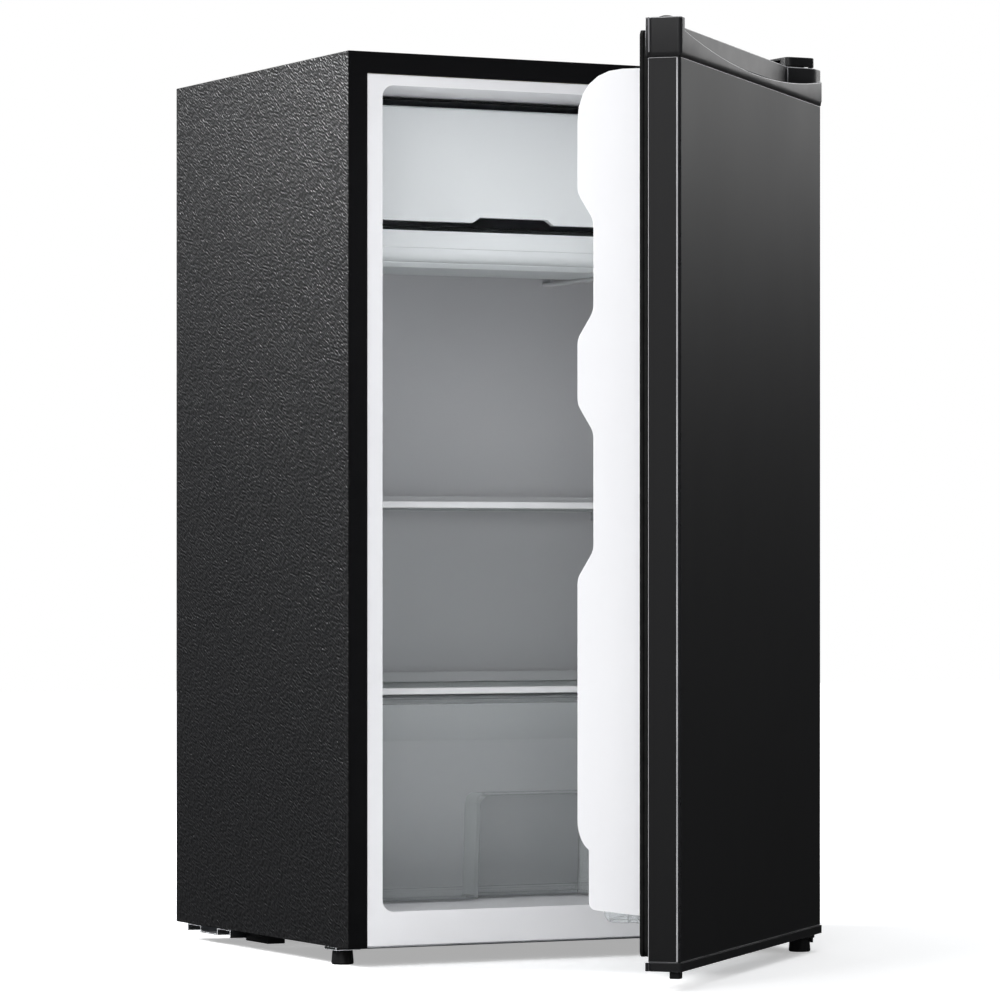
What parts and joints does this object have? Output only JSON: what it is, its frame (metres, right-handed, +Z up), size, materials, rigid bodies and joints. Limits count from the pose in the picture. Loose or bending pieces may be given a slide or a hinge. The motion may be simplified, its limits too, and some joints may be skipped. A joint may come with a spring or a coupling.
{
  "type": "mini fridge",
  "caption": "Compact free-standing refrigerator: side-hinged door with a scooped top grip, inner freezer box with a flap, glass shelves, a clear crisper and door racks.",
  "frame": {"origin": "on the floor, under the middle of the cabinet's footprint", "axes": "+Z up, the door opens on the -Y side, its hinges are on the +X side, +X is to the right when the fridge is seen from the front"},
  "size_m": [0.4815, 0.7603, 0.839],
  "materials": {
    "grained_steel": "black paint over a pressed leather grain, satin",
    "door_steel": "satin black coated sheet with a faint vertical brush",
    "black_steel": "thin black paint, semi-matte",
    "zinc_steel": "zinc plated pressed steel",
    "black_enamel": "gloss black enamel",
    "black_plastic": "moulded, satin",
    "white_liner": "vacuum-formed white polystyrene, soft gloss",
    "white_plastic": "moulded, soft gloss",
    "milky_plastic": "milky moulded plastic",
    "clear_plastic": "clear moulded polystyrene",
    "shelf_glass": "tempered sheet glass",
    "aluminium": "roll-bonded sheet, matt",
    "copper": "drawn copper, brazed ends",
    "foam": "rigid polyurethane foam",
    "black_rubber": "moulded rubber, matt",
    "gasket_rubber": "extruded soft vinyl, matt"
  },
  "bodies": {
    "cabinet": {"outer_shell": "grained_steel", "floor_panel": "zinc_steel", "back_panel": "black_steel", "inner_liner": "white_liner", "cabinet_foam": "foam", "base_plate": "zinc_steel", "base_rail_left": "black_plastic", "base_rail_right": "black_plastic", "left_foot_plate": "zinc_steel", "rear_left_foot": "black_rubber", "rear_right_foot": "black_rubber", "lower_hinge_bracket": "black_enamel", "upper_hinge_leaf": "zinc_steel", "hinge_cover": "black_plastic", "hinge_screw_1": "zinc_steel", "hinge_screw_2": "zinc_steel", "compressor": "black_enamel", "compressor_grommet_1": "black_rubber", "compressor_grommet_2": "black_rubber", "compressor_grommet_3": "black_rubber", "compressor_grommet_4": "black_rubber", "starter_cover": "black_plastic", "evaporating_pan": "black_plastic", "drain_tube": "white_plastic", "filter_drier": "copper", "suction_tube": "copper", "cord_gland": "black_rubber", "condenser_coil": "black_enamel", "condenser_bracket_left": "black_plastic", "condenser_bracket_right": "black_plastic", "evaporator_box": "aluminium", "flap_bracket_left": "white_plastic", "flap_bracket_right": "white_plastic", "tray_runner": "white_plastic", "thermostat_housing": "white_plastic"},
    "door": {"door_panel": "door_steel", "door_top_cap": "black_plastic", "door_bottom_cap": "black_plastic", "hinge_bush": "white_plastic", "hinge_hole_plug": "black_plastic", "door_stop_lug": "black_plastic", "door_foam": "foam", "door_liner": "white_liner", "door_gasket": "gasket_rubber"},
    "freezer_door": {"freezer_flap": "milky_plastic"},
    "freezer_tray": {"drip_tray": "milky_plastic"},
    "upper_shelf": {"upper_shelf_glass": "shelf_glass", "upper_shelf_front_trim": "white_plastic", "upper_shelf_rear_trim": "white_plastic"},
    "lower_shelf": {"lower_shelf_glass": "shelf_glass", "lower_shelf_front_trim": "white_plastic", "lower_shelf_rear_trim": "white_plastic"},
    "crisper": {"crisper_drawer": "clear_plastic"},
    "bottom_rack": {"bottom_door_rack": "clear_plastic"},
    "middle_rack": {"middle_door_rack": "clear_plastic"},
    "top_rack": {"top_door_rack": "clear_plastic"},
    "thermostat_dial": {"thermostat_knob": "white_plastic"},
    "left_foot": {"front_left_foot": "black_plastic"},
    "right_foot": {"front_right_foot": "black_plastic"}
  },
  "joints": [
    {"name": "door_hinge", "type": "hinge", "parent": "cabinet", "child": "door", "pos_m": [0.2215, -0.2165, 0.41325], "axis": [0, 0, 1], "range_deg": [-44.6, 60.4]},
    {"name": "freezer_flap_hinge", "type": "hinge", "parent": "cabinet", "child": "freezer_door", "pos_m": [0, -0.109, 0.7841], "axis": [-1, 0, 0], "range_deg": [0, 85]},
    {"name": "drip_tray_slide", "type": "slide", "parent": "cabinet", "child": "freezer_tray", "axis": [0, -1, 0], "range_m": [0, 0.04]},
    {"name": "upper_shelf_slide", "type": "slide", "parent": "cabinet", "child": "upper_shelf", "axis": [0, -1, 0], "range_m": [0, 0.04]},
    {"name": "lower_shelf_slide", "type": "slide", "parent": "cabinet", "child": "lower_shelf", "axis": [0, -1, 0], "range_m": [0, 0.04]},
    {"name": "crisper_slide", "type": "slide", "parent": "cabinet", "child": "crisper", "axis": [0, -1, 0], "range_m": [0, 0.04]},
    {"name": "bottom_rack_lift", "type": "slide", "parent": "door", "child": "bottom_rack", "axis": [0, 0, 1], "range_m": [0, 0.03]},
    {"name": "middle_rack_lift", "type": "slide", "parent": "door", "child": "middle_rack", "axis": [0, 0, 1], "range_m": [0, 0.03]},
    {"name": "top_rack_lift", "type": "slide", "parent": "door", "child": "top_rack", "axis": [0, 0, 1], "range_m": [0, 0.03]},
    {"name": "thermostat_turn", "type": "hinge", "parent": "cabinet", "child": "thermostat_dial", "pos_m": [0.1761, -0.1125, 0.7418], "axis": [0, -1, 0], "range_deg": [-120, 120]},
    {"name": "left_foot_screw", "type": "hinge", "parent": "cabinet", "child": "left_foot", "pos_m": [-0.223, -0.1535, 0.007], "axis": [0, 0, 1], "continuous": true},
    {"name": "right_foot_screw", "type": "hinge", "parent": "cabinet", "child": "right_foot", "pos_m": [0.2215, -0.2165, 0.007], "axis": [0, 0, 1], "continuous": true}
  ]
}
